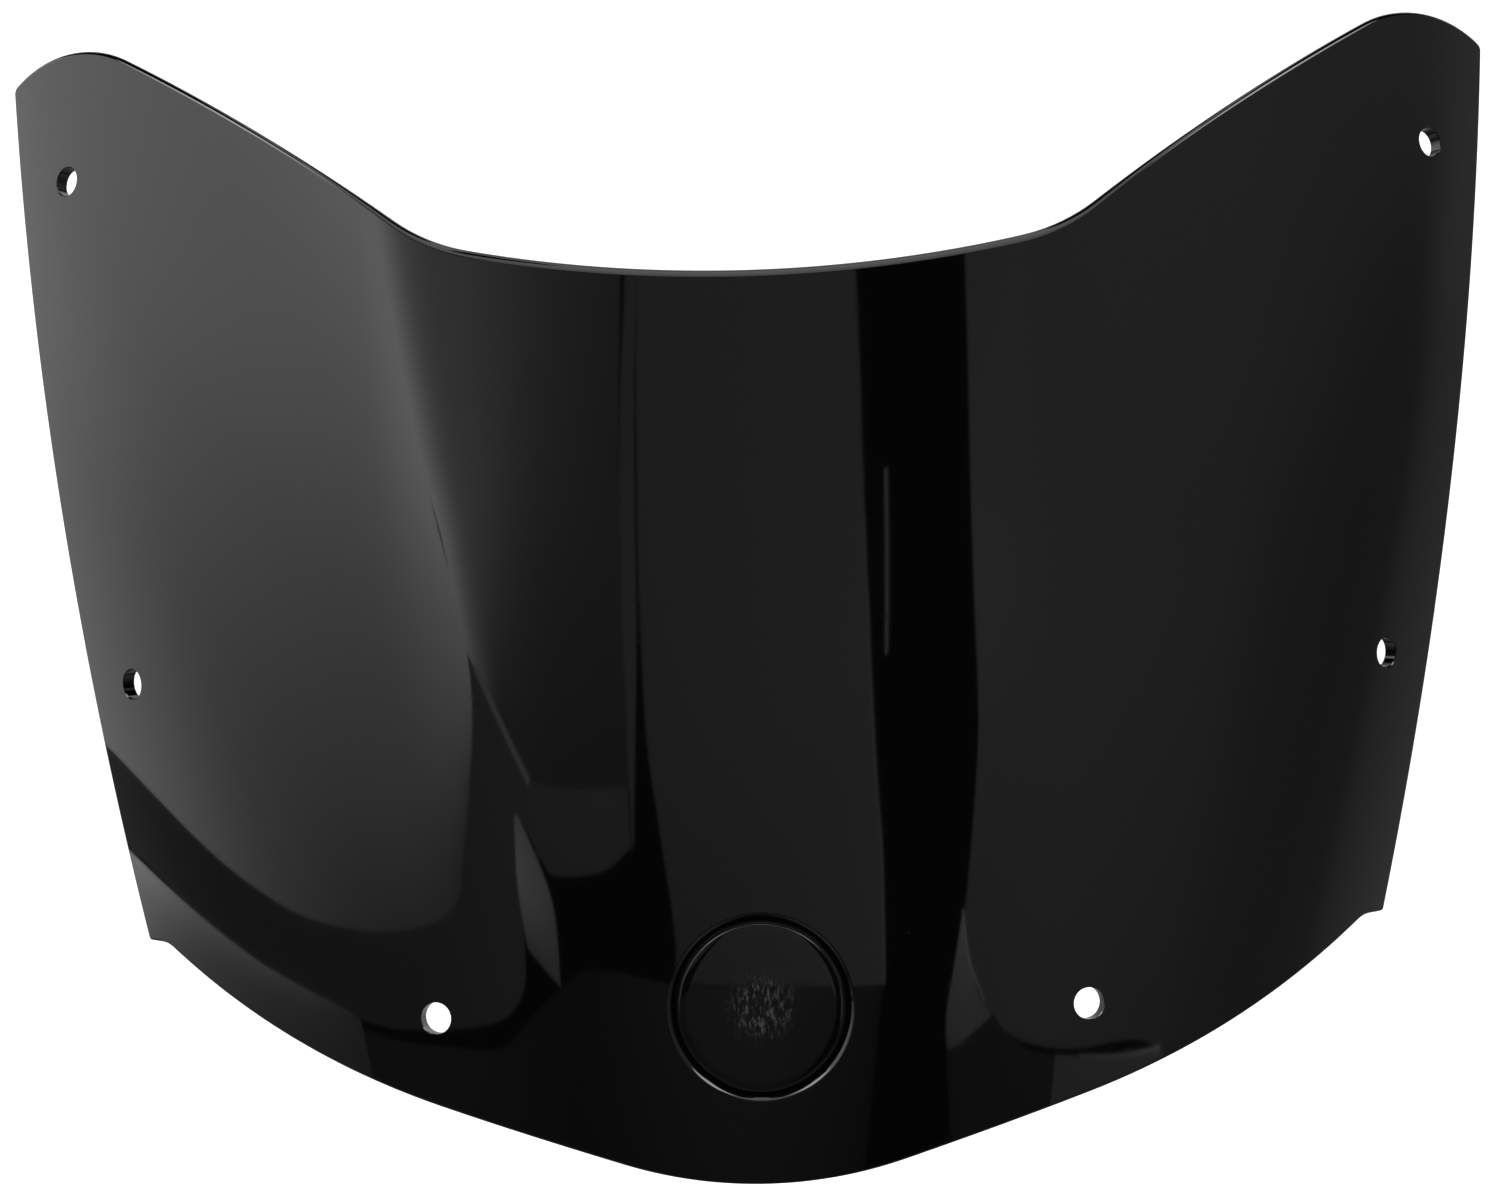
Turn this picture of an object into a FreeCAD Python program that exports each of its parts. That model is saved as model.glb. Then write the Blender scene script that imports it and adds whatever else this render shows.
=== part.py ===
import FreeCAD, Part
import math
import os

# Motorcycle fairing screen: one thermoformed sheet with six mounting holes, and a round
# badge blank bonded into a shallow pocket at the foot of the sheet.
#
# +Z is up, +X is to the right of someone facing the screen, and the screen's outer face
# looks towards -Y. The origin is on the outer face, on the centreline, level with the
# two lower mounting holes. Every length is in millimetres.

V = FreeCAD.Vector

# ---- the sheet ---------------------------------------------------------------
sheet_thickness = 4.5
edge_radius = 1.0              # rounding of the cut edge, on the outer face

# ---- the curved outer face ---------------------------------------------------
profile_radius = 1185.0        # the centreline bows forward with this radius
upright_height = -41.5         # height at which the centreline stands upright
section_size = 168.9           # size of the wrap section at the origin's height
section_growth = 0.2758        # how much that size grows for each millimetre of height
section_flat = 0.1225          # share of the wrap that is an even curve
section_wrap = 0.156           # share of the wrap that tightens towards the sides

# ---- the outline, seen from the front ----------------------------------------
overall_width = 491.0          # across the two upper corners
crest_height = 310.2           # top of the two horns
tip_height = -50.0             # bottom of the foot
horn_radius = 38.5             # rounded top of each horn
horn_inset = 24.5              # from the upper corner in to the horn's highest point
slope_radius = 900.0           # gentle bulge of the slope between horn and saddle
saddle_height = 225.2          # lowest point of the top edge, on the centreline
saddle_width = 199.0           # across the saddle, where it and the slopes would cross
saddle_radius = 411.0          # hollow curve of the top edge
saddle_corner_radius = 60.0    # where the slope runs into the saddle
side_radius = 1880.0           # long even curve of each side
upper_corner_radius = 3.0
ear_width = 396.6              # across the two lower corners
ear_height = 18.5              # height of the lower corners
ear_step = 7.8                 # flat step under each lower corner
ear_corner_radius = 1.2
ear_step_radius = 8.0          # where the step runs into the foot
nose_radius = 142.0            # rounded nose of the foot
nose_half_angle = 17.15        # degrees, from the centreline to the end of the nose
foot_width = 195.6             # across the foot, where its straight edges start to curve

# ---- the mounting holes ------------------------------------------------------
hole_diameter = 9.5            # clearance for a rubber well nut
upper_hole_height = 266.4
upper_hole_inset = 19.0        # from the side edge, seen from the front
middle_hole_height = 101.4
middle_hole_inset = 17.0
lower_hole_spacing = 196.0     # between the two lower holes

# ---- the badge and its pocket ------------------------------------------------
badge_height = 2.5             # centre of the badge above the lower holes
badge_diameter = 49.2
badge_thickness = 1.3
pad_diameter = 44.0            # adhesive pad behind the badge
pad_thickness = 0.5
pocket_clearance = 0.4         # all round the badge, at the bottom of the pocket
pocket_depth = 2.2
pocket_wall_run = 3.0          # how far the sloping wall of the pocket reaches outwards

# ---- working sizes, which don't show in the finished part ----------------------
face_spacing = 20.0            # between the points that the curved face is fitted to
badge_face_spacing = 10.0      # the same for the small faces in the pocket
face_margin = 25.0             # how far a fitted face runs past what it is cut to
drill_reach = 15.0             # how far a drill starts before the face and ends behind it
pocket_overlap = 1.5           # how far the pocket's cutter stands proud of the face
sharp_edge = 0.01              # how near a point has to be to count as on the face


# ---- the outer face as a formula ---------------------------------------------
def face_depth(x, z):
    """How far back the outer face lies at x, z."""
    size = section_size + section_growth * z
    bow = ((z - upright_height) ** 2 - upright_height ** 2) / (2 * profile_radius)
    return bow + section_flat * x ** 2 / size + section_wrap * x ** 4 / size ** 3


def outward_normal(x, z):
    """Unit normal of the outer face, pointing to the front."""
    size = section_size + section_growth * z
    across = 2 * section_flat * x / size + 4 * section_wrap * x ** 3 / size ** 3
    up = (z - upright_height) / profile_radius
    up -= section_growth * section_flat * x ** 2 / size ** 2
    up -= 3 * section_growth * section_wrap * x ** 4 / size ** 4
    return V(across, -1, up).normalize()


def face_point(x, z, inwards=0.0):
    """The point of the outer face at x, z, moved into the sheet by `inwards`."""
    return V(x, face_depth(x, z), z) - outward_normal(x, z) * inwards


def spread(low, high, steps):
    return [low + (high - low) * i / steps for i in range(steps + 1)]


def skin(x_low, x_high, z_low, z_high, spacing, inwards=0.0):
    """A smooth face over the given range, `inwards` behind the outer face."""
    columns = spread(x_low, x_high, math.ceil((x_high - x_low) / spacing))
    rows = spread(z_low, z_high, math.ceil((z_high - z_low) / spacing))
    surface = Part.BSplineSurface()
    surface.interpolate([[face_point(x, z, inwards) for z in rows] for x in columns])
    return surface.toShape()


# ---- the outline -------------------------------------------------------------
def meeting(first, first_reach, second, second_reach, side):
    """The point at two distances from two centres, left (1) or right (-1) of the way over."""
    along = second - first
    apart = along.Length
    along.normalize()
    left = V(-along.z, 0, along.x)
    forward = (first_reach ** 2 - second_reach ** 2 + apart ** 2) / (2 * apart)
    return first + along * forward + left * side * math.sqrt(first_reach ** 2 - forward ** 2)


def turn_centre(start, heading, end):
    """Centre of the arc that leaves `start` along `heading` and ends at `end`."""
    left = V(-heading.z, 0, heading.x).normalize()
    chord = end - start
    return start + left * (chord.Length ** 2 / (2 * chord.dot(left)))


def towards(centre, point, reach):
    """The point `reach` from `centre`, on the side of `point`."""
    return centre + (point - centre).normalize() * reach


def arc_about(centre, start, end):
    """The shorter arc about `centre` from `start` to `end`."""
    middle = towards(centre, (start + end) * 0.5, (start - centre).Length)
    return Part.Arc(start, middle, end).toShape()


half_width = overall_width / 2
crest = V(half_width - horn_inset, 0, crest_height)
horn_centre = crest - V(0, 0, horn_radius)
corner_rise = math.sqrt(horn_radius ** 2 - horn_inset ** 2)
upper_corner = V(half_width, 0, horn_centre.z + corner_rise)
ear_corner = V(ear_width / 2, 0, ear_height)
step_end = V(ear_corner.x - ear_step, 0, ear_height)
side_centre = meeting(ear_corner, side_radius, upper_corner, side_radius, 1)


def side_edge_at(height):
    """Half width of the outline at a height, between the lower and the upper corner."""
    return side_centre.x + math.sqrt(side_radius ** 2 - (height - side_centre.z) ** 2)


def top_half():
    """Edges from the upper corner, over the horn and down the slope, to the centreline."""
    saddle_bottom = V(0, 0, saddle_height)
    saddle_centre = saddle_bottom + V(0, 0, saddle_radius)
    saddle_drop = math.sqrt(saddle_radius ** 2 - (saddle_width / 2) ** 2)
    crossing = V(saddle_width / 2, 0, saddle_centre.z - saddle_drop)
    # the slope touches the horn's circle and would cross the saddle's at the saddle's width
    slope_centre = meeting(horn_centre, slope_radius - horn_radius, crossing, slope_radius, 1)
    # the corner's rounding lies outside the sheet: outside the slope's circle and inside the
    # saddle's
    inside_saddle = saddle_radius - saddle_corner_radius
    outside_slope = slope_radius + saddle_corner_radius
    corner_centre = meeting(saddle_centre, inside_saddle, slope_centre, outside_slope, -1)
    slope_start = horn_centre + (horn_centre - slope_centre).normalize() * horn_radius
    slope_end = towards(slope_centre, corner_centre, slope_radius)
    saddle_start = towards(saddle_centre, corner_centre, saddle_radius)
    return [
        Part.Arc(upper_corner, crest, slope_start).toShape(),
        arc_about(slope_centre, slope_start, slope_end),
        arc_about(corner_centre, slope_end, saddle_start),
        arc_about(saddle_centre, saddle_start, saddle_bottom),
    ]


def foot_half():
    """Edges from the tip, round the nose and up the foot and the side, to the upper corner."""
    tip = V(0, 0, tip_height)
    nose_centre = tip + V(0, 0, nose_radius)
    lean = math.radians(nose_half_angle)
    heading = V(math.cos(lean), 0, math.sin(lean))
    nose_end = nose_centre + V(math.sin(lean), 0, -math.cos(lean)) * nose_radius
    foot_bend = nose_end + heading * ((foot_width / 2 - nose_end.x) / heading.x)
    return [
        arc_about(nose_centre, tip, nose_end),
        Part.makeLine(nose_end, foot_bend),
        arc_about(turn_centre(foot_bend, heading, step_end), foot_bend, step_end),
        Part.makeLine(step_end, ear_corner),
        arc_about(side_centre, ear_corner, upper_corner),
    ]


def mirrored(shape):
    return shape.mirror(V(0, 0, 0), V(1, 0, 0))


def edges_at(prism, corner):
    """The prism's two long edges that show as one corner of the outline, left and right."""
    found = []
    for edge in prism.Edges:
        ends = [V(abs(vertex.Point.x), 0, vertex.Point.z) for vertex in edge.Vertexes]
        if all(end.isEqual(corner, sharp_edge) for end in ends):
            found.append(edge)
    return found


def outline_prism():
    """A block with the outline's shape, long enough to pass through the whole screen."""
    half = foot_half() + top_half()
    edges = Part.__sortEdges__(half + [mirrored(edge) for edge in half])
    face = Part.Face(Part.Wire(edges))
    reach = 2 * overall_width
    face.translate(V(0, -reach / 2, 0))
    prism = face.extrude(V(0, reach, 0))
    roundings = [
        (upper_corner, upper_corner_radius),
        (ear_corner, ear_corner_radius),
        (step_end, ear_step_radius),
    ]
    for corner, radius in roundings:
        prism = prism.makeFillet(radius, edges_at(prism, corner))
    return prism


# ---- the pieces --------------------------------------------------------------
def drill(centre, axis, diameter):
    """A cylinder along `axis`, long enough to pass through the sheet at `centre`."""
    start = centre - axis * drill_reach
    return Part.makeCylinder(diameter / 2, 2 * drill_reach, start, axis)


def hole_centres():
    upper_x = side_edge_at(upper_hole_height) - upper_hole_inset
    middle_x = side_edge_at(middle_hole_height) - middle_hole_inset
    places = [(upper_x, upper_hole_height), (middle_x, middle_hole_height)]
    places.append((lower_hole_spacing / 2, 0.0))
    return [(side * x, z) for x, z in places for side in (-1, 1)]


badge_centre = face_point(0.0, badge_height)
badge_axis = outward_normal(0.0, badge_height)
pocket_floor_radius = badge_diameter / 2 + pocket_clearance


def behind_badge_face(inwards):
    """Everything behind the outer face, moved `inwards`, round the badge."""
    reach = pocket_floor_radius + pocket_wall_run + face_margin
    low = badge_height - reach
    high = badge_height + reach
    face = skin(-reach, reach, low, high, badge_face_spacing, inwards)
    return face.extrude(V(0, 2 * drill_reach, 0))


def badge_slice(diameter, front, back):
    """A round slice of the sheet's curve, from `front` to `back` behind the outer face."""
    core = drill(badge_centre, badge_axis, diameter)
    return core.common(behind_badge_face(front)).cut(behind_badge_face(back))


def pocket_cutter():
    """The badge's pocket: a round dish with a sloping wall and a floor that follows the sheet."""
    wall_rate = pocket_wall_run / pocket_depth
    # the cone starts a little under the floor, because the floor is curved
    under = pocket_overlap / 3
    small_end = pocket_floor_radius - wall_rate * under
    large_end = pocket_floor_radius + wall_rate * (pocket_depth + pocket_overlap)
    start = badge_centre - badge_axis * (pocket_depth + under)
    length = pocket_depth + under + pocket_overlap
    cone = Part.makeCone(small_end, large_end, length, start, badge_axis)
    return cone.cut(behind_badge_face(pocket_depth))


def front_edges(panel):
    """The edges round the outer face."""
    found = []
    for edge in panel.Edges:
        middle = edge.valueAt((edge.FirstParameter + edge.LastParameter) / 2)
        points = [vertex.Point for vertex in edge.Vertexes] + [middle]
        if all(abs(p.y - face_depth(p.x, p.z)) < sharp_edge for p in points):
            found.append(edge)
    return found


def screen_panel():
    """The curved sheet, with its rounded cut edge, its six holes and the badge's pocket."""
    reach = half_width + face_margin
    low = tip_height - face_margin
    high = crest_height + face_margin
    sheet = skin(-reach, reach, low, high, face_spacing)
    front = sheet.common(outline_prism()).Faces[0]
    panel = front.makeOffsetShape(-sheet_thickness, 0.001, fill=True)
    panel = panel.makeFillet(edge_radius, front_edges(panel))
    for x, z in hole_centres():
        panel = panel.cut(drill(face_point(x, z), outward_normal(x, z), hole_diameter))
    return panel.cut(pocket_cutter())


def badge_adhesive_pad():
    """The adhesive pad on the floor of the pocket."""
    return badge_slice(pad_diameter, pocket_depth - pad_thickness, pocket_depth)


def badge_disc():
    """The plain round badge blank, on the pad."""
    back = pocket_depth - pad_thickness
    return badge_slice(badge_diameter, back - badge_thickness, back)


if __name__ == "__main__":
    os.makedirs("parts", exist_ok=True)
    for make in (screen_panel, badge_disc, badge_adhesive_pad):
        shape = make()
        name = make.__name__
        print(name, len(shape.Solids), shape.isValid(), round(shape.Volume), shape.optimalBoundingBox())
        Part.makeCompound(shape.Solids).exportStep(f"parts/{name}.step")
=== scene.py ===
import math
import bmesh
import bpy
from mathutils import Matrix, Vector


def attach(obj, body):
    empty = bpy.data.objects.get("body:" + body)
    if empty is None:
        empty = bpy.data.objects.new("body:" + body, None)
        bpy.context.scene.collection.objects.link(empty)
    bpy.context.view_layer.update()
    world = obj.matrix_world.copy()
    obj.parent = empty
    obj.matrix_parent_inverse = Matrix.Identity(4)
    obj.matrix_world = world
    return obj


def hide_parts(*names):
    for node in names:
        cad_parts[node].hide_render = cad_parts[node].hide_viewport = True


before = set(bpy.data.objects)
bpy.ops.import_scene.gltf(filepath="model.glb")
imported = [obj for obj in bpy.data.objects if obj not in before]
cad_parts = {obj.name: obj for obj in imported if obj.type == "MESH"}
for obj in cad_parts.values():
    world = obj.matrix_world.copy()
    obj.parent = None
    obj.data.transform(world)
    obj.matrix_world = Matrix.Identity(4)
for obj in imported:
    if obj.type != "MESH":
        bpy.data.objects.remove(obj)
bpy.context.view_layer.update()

mm = 0.001


def linear(hexColour):
    # sRGB hex to the linear colour that a shader takes
    parts = [int(hexColour[i:i + 2], 16) / 255 for i in (1, 3, 5)]
    parts = [c / 12.92 if c <= 0.04045 else ((c + 0.055) / 1.055) ** 2.4 for c in parts]
    return (*parts, 1.0)


def deselect():
    if bpy.context.object and bpy.context.object.mode != "OBJECT":
        bpy.ops.object.mode_set(mode="OBJECT")
    bpy.ops.object.select_all(action="DESELECT")


def only(piece):
    deselect()
    piece.select_set(True)
    bpy.context.view_layer.objects.active = piece


def applyAll(piece):
    only(piece)
    for modifier in list(piece.modifiers):
        bpy.ops.object.modifier_apply(modifier=modifier.name)


def turnOutwards(piece):
    only(piece)
    bpy.ops.object.mode_set(mode="EDIT")
    bpy.ops.mesh.select_all(action="SELECT")
    bpy.ops.mesh.normals_make_consistent(inside=False)
    bpy.ops.object.mode_set(mode="OBJECT")


def softStep(low, high, value):
    # 0 below low, 1 above high, and an even S between them
    t = min(max((value - low) / (high - low), 0), 1)
    return t * t * (3 - 2 * t)


sheetShape = {
    "thickness": 4.5 * mm,
    "profileRadius": 1185.0 * mm,    # the centreline curves back as it climbs
    "uprightHeight": -41.5 * mm,     # where the centreline stands upright
    "sectionSize": 168.9 * mm,       # size of the wrap at the lower holes' height
    "sectionGrowth": 0.2758,         # and how much it grows with height
    "sectionFlat": 0.1225,           # curve of the section's middle
    "sectionWrap": 0.156,            # how fast its sides turn back
}


def faceDepth(x, z):
    # how far back the outer face lies: a bowed profile, wrapped round in plan
    s = sheetShape
    size = s["sectionSize"] + s["sectionGrowth"] * z
    bow = ((z - s["uprightHeight"]) ** 2 - s["uprightHeight"] ** 2) / (2 * s["profileRadius"])
    return bow + s["sectionFlat"] * x ** 2 / size + s["sectionWrap"] * x ** 4 / size ** 3


def outwardNormal(x, z):
    s = sheetShape
    size = s["sectionSize"] + s["sectionGrowth"] * z
    across = 2 * s["sectionFlat"] * x / size + 4 * s["sectionWrap"] * x ** 3 / size ** 3
    up = (z - s["uprightHeight"]) / s["profileRadius"]
    up -= s["sectionGrowth"] * s["sectionFlat"] * x ** 2 / size ** 2
    up -= 3 * s["sectionGrowth"] * s["sectionWrap"] * x ** 4 / size ** 4
    return Vector((across, -1, up)).normalized()


def onSheet(x, z, inwards=0.0):
    # the point of the outer face at x, z, moved into the sheet
    return Vector((x, faceDepth(x, z), z)) - outwardNormal(x, z) * inwards


def sheetCoordinates(point):
    # the x, z and depth at which onSheet gives this point, closed in on in a few steps
    x, z, inwards = point.x, point.z, 0.0
    closingSteps = 4
    for _ in range(closingSteps):
        normal = outwardNormal(x, z)
        inwards = (Vector((x, faceDepth(x, z), z)) - point).dot(normal)
        x, z = point.x + normal.x * inwards, point.z + normal.z * inwards
    return x, z, inwards


outline = {                    # heights are from the two lower holes
    "width": 491.0 * mm,
    "crest": 310.2 * mm,
    "tip": -50.0 * mm,
    "hornRadius": 38.5 * mm,   # the raised upper corners
    "hornInset": 24.5 * mm,    # their peaks, in from the side
    "slopeRadius": 900.0 * mm,
    "saddleHeight": 225.2 * mm,
    "saddleWidth": 199.0 * mm,
    "saddleRadius": 411.0 * mm,
    "saddleCorner": 60.0 * mm,  # radius between the saddle and a slope
    "sideRadius": 1880.0 * mm,
    "earWidth": 396.6 * mm,    # across the lower corners
    "earHeight": 18.5 * mm,
    "earStep": 7.8 * mm,       # flat under each lower corner
    "earStepRadius": 8.0 * mm,
    "noseRadius": 142.0 * mm,
    "noseHalfAngle": math.radians(17.15),
    "footWidth": 195.6 * mm,   # where the foot's straight lines end
    "upperCornerRadius": 3.0 * mm,
    "earCornerRadius": 1.2 * mm,
}


def meeting(first, firstReach, second, secondReach, side):
    # the point at two distances from two centres, left (1) or right (-1) of the way over
    along = (second - first).normalized()
    apart = (second - first).length
    forward = (firstReach ** 2 - secondReach ** 2 + apart ** 2) / (2 * apart)
    left = Vector((-along.y, along.x))
    return first + along * forward + left * side * math.sqrt(firstReach ** 2 - forward ** 2)


def outlineMaker():
    # the front view's edges as topEdge(x), footEdge(x) and sideEdge(z), and two corners
    o = outline
    hornCentre = Vector((o["width"] / 2 - o["hornInset"], o["crest"] - o["hornRadius"]))
    rise = math.sqrt(o["hornRadius"] ** 2 - o["hornInset"] ** 2)
    corner = Vector((o["width"] / 2, hornCentre.y + rise))
    saddleCentre = Vector((0, o["saddleHeight"] + o["saddleRadius"]))
    halfSaddle = o["saddleWidth"] / 2
    drop = math.sqrt(o["saddleRadius"] ** 2 - halfSaddle ** 2)
    crossing = Vector((halfSaddle, saddleCentre.y - drop))
    slopeReach = o["slopeRadius"] - o["hornRadius"]
    slopeCentre = meeting(hornCentre, slopeReach, crossing, o["slopeRadius"], 1)
    cornerCentre = meeting(saddleCentre, o["saddleRadius"] - o["saddleCorner"],
                           slopeCentre, o["slopeRadius"] + o["saddleCorner"], -1)
    slopeStart = hornCentre + (hornCentre - slopeCentre).normalized() * o["hornRadius"]
    slopeEnd = slopeCentre + (cornerCentre - slopeCentre).normalized() * o["slopeRadius"]
    saddleStart = saddleCentre + (cornerCentre - saddleCentre).normalized() * o["saddleRadius"]

    def topEdge(x):
        x = abs(x)
        if x >= slopeStart.x:
            return hornCentre.y + math.sqrt(o["hornRadius"] ** 2 - (x - hornCentre.x) ** 2)
        if x >= slopeEnd.x:
            return slopeCentre.y + math.sqrt(o["slopeRadius"] ** 2 - (x - slopeCentre.x) ** 2)
        if x >= saddleStart.x:
            return cornerCentre.y - math.sqrt(o["saddleCorner"] ** 2 - (x - cornerCentre.x) ** 2)
        return saddleCentre.y - math.sqrt(o["saddleRadius"] ** 2 - x ** 2)

    lean = o["noseHalfAngle"]
    noseCentre = Vector((0, o["tip"] + o["noseRadius"]))
    noseEnd = noseCentre + Vector((math.sin(lean), -math.cos(lean))) * o["noseRadius"]
    heading = Vector((math.cos(lean), math.sin(lean)))
    footBend = noseEnd + heading * ((o["footWidth"] / 2 - noseEnd.x) / heading.x)
    ear = Vector((o["earWidth"] / 2, o["earHeight"]))
    chord = Vector((ear.x - o["earStep"], ear.y)) - footBend
    inwards = Vector((-heading.y, heading.x))
    footRadius = chord.length_squared / (2 * chord.dot(inwards))
    footCentre = footBend + inwards * footRadius
    stepZ = ear.y - o["earStepRadius"]
    stepReach = footRadius + o["earStepRadius"]
    stepX = footCentre.x + math.sqrt(stepReach ** 2 - (stepZ - footCentre.y) ** 2)
    stepStart = footCentre + (Vector((stepX, stepZ)) - footCentre).normalized() * footRadius

    def footEdge(x):
        x = abs(x)
        if x <= noseEnd.x:
            return noseCentre.y - math.sqrt(o["noseRadius"] ** 2 - x ** 2)
        if x <= footBend.x:
            return noseEnd.y + (x - noseEnd.x) * heading.y / heading.x
        if x <= stepStart.x:
            return footCentre.y - math.sqrt(footRadius ** 2 - (x - footCentre.x) ** 2)
        if x <= stepX:
            return stepZ + math.sqrt(o["earStepRadius"] ** 2 - (x - stepX) ** 2)
        return ear.y

    sideCentre = meeting(ear, o["sideRadius"], corner, o["sideRadius"], 1)

    def sideEdge(z):
        return sideCentre.x + math.sqrt(o["sideRadius"] ** 2 - (z - sideCentre.y) ** 2)

    return topEdge, footEdge, sideEdge, ear, corner


topEdge, footEdge, sideEdge, ear, corner = outlineMaker()


def addNode(tree, kind, settings=None, links=None, values=None):
    # adds one shader node, sets its properties and sockets, and links its inputs
    node = tree.nodes.new(kind)
    for name, value in (settings or {}).items():
        setattr(node, name, value)
    for name, value in (values or {}).items():
        node.inputs[name].default_value = value
    for name, source in (links or {}).items():
        tree.links.new(source, node.inputs[name])
    return node


def newMaterial(name):
    material = bpy.data.materials.new(name)
    material.use_nodes = True
    material.node_tree.nodes.clear()
    return material, material.node_tree


def finishMaterial(tree, links, values):
    shader = addNode(tree, "ShaderNodeBsdfPrincipled", None, links, values)
    addNode(tree, "ShaderNodeOutputMaterial", None, {"Surface": shader.outputs["BSDF"]})


def specks(tree, place, spacing, radius, share):
    # round specks: 1 on a speck and 0 between them, in only a share of the cells
    core = 0.4                 # share of the radius that is at full strength
    cells = addNode(tree, "ShaderNodeTexVoronoi", {"feature": "F1"}, {"Vector": place},
                    {"Scale": 1 / spacing})
    size = radius / spacing
    disc = addNode(tree, "ShaderNodeMapRange", None, {"Value": cells.outputs["Distance"]},
                   {"From Min": size, "From Max": size * core})
    pick = addNode(tree, "ShaderNodeSeparateColor", None, {"Color": cells.outputs["Color"]})
    kept = addNode(tree, "ShaderNodeMath", {"operation": "LESS_THAN"},
                   {0: pick.outputs["Red"]}, {1: share})
    return addNode(tree, "ShaderNodeMath", {"operation": "MULTIPLY"},
                   {0: disc.outputs["Result"], 1: kept.outputs["Value"]}).outputs["Value"]


acrylic = {
    "colour": "#030303",       # dyed through, so nothing shows behind the gloss
    "dustColour": "#3c3c3e",
    "roughness": 0.03,
    "wipedRoughness": 0.06,
    "dustRoughness": 0.6,
    "ior": 1.49,               # cast acrylic
    "waveLength": 45.0 * mm,   # slow ripple left by draping the hot sheet
    "waveHeight": 0.03 * mm,
    "waveDetail": 1.0,
    "waveUnevenness": 0.4,
    "dustSpacing": 11.0 * mm,
    "dustRadius": 0.22 * mm,   # drawn coarser than real dust, which would not show
    "dustShare": 0.2,
    "hairlineSpacing": 1.2 * mm,
    "hairlineDetail": 3.0,
    "hairlineTurn": (0.3, 0.0, 0.6),
    "hairlineStretch": (0.05, 1.0, 1.0),  # drawn out one way, as a cloth leaves its marks
    "hairlineStart": 0.55,     # noise level at which a hairline starts to show
    "hairlineFull": 0.8,
}


def glossAcrylic():
    # cast black acrylic, heated and draped: deep black with a clean mirror gloss that ripples
    # slowly, faint hairlines from wiping and a few specks of dust
    a = acrylic
    material, tree = newMaterial("blackCastAcrylicPolished")
    place = addNode(tree, "ShaderNodeTexCoord").outputs["Object"]
    ripple = addNode(tree, "ShaderNodeTexNoise", None, {"Vector": place},
                     {"Scale": 1 / a["waveLength"], "Detail": a["waveDetail"],
                      "Roughness": a["waveUnevenness"]})
    dust = specks(tree, place, a["dustSpacing"], a["dustRadius"], a["dustShare"])
    drawn = addNode(tree, "ShaderNodeMapping", None, {"Vector": place},
                    {"Rotation": a["hairlineTurn"], "Scale": a["hairlineStretch"]})
    hairlines = addNode(tree, "ShaderNodeTexNoise", None, {"Vector": drawn.outputs["Vector"]},
                        {"Scale": 1 / a["hairlineSpacing"], "Detail": a["hairlineDetail"]})
    wiped = addNode(tree, "ShaderNodeMapRange", None, {"Value": hairlines.outputs["Fac"]},
                    {"From Min": a["hairlineStart"], "From Max": a["hairlineFull"],
                     "To Min": a["roughness"], "To Max": a["wipedRoughness"]})
    finish = addNode(tree, "ShaderNodeMix", {"data_type": "FLOAT"},
                     {"Factor": dust, "A": wiped.outputs["Result"]}, {"B": a["dustRoughness"]})
    tint = addNode(tree, "ShaderNodeMix", {"data_type": "RGBA"}, {"Factor": dust},
                   {"A": linear(a["colour"]), "B": linear(a["dustColour"])})
    bump = addNode(tree, "ShaderNodeBump", None, {"Height": ripple.outputs["Fac"]},
                   {"Strength": 1.0, "Distance": a["waveHeight"]})
    finishMaterial(tree, {"Roughness": finish.outputs["Result"], "Normal": bump.outputs["Normal"],
                          "Base Color": tint.outputs["Result"]}, {"IOR": a["ior"]})
    return material


blank = {
    "colour": "#040404",
    "scuffColour": "#3a3a3b",
    "ior": 1.50,               # ABS, moulded against a polished plate
    "roughness": 0.04,
    "scuffRoughness": 0.42,
    "scuffRadius": 12.5 * mm,
    "scuffCore": 0.35,           # share of that radius that is rubbed in full
    "scratchSpacing": 0.9 * mm,  # real scratches are finer than the eye could pick out
    "scratchDetail": 4.0,
    "scratchUnevenness": 0.7,
    "scratchTurn": (0.0, 0.5, 0.0),
    "scratchStretch": (1.0, 1.0, 0.35),
    "scratchStart": 0.5,         # noise level at which a scratch starts to show
    "scratchFull": 0.72,
    "scratchDepth": 0.05 * mm,
    "scratchStrength": 0.6,
}


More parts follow.
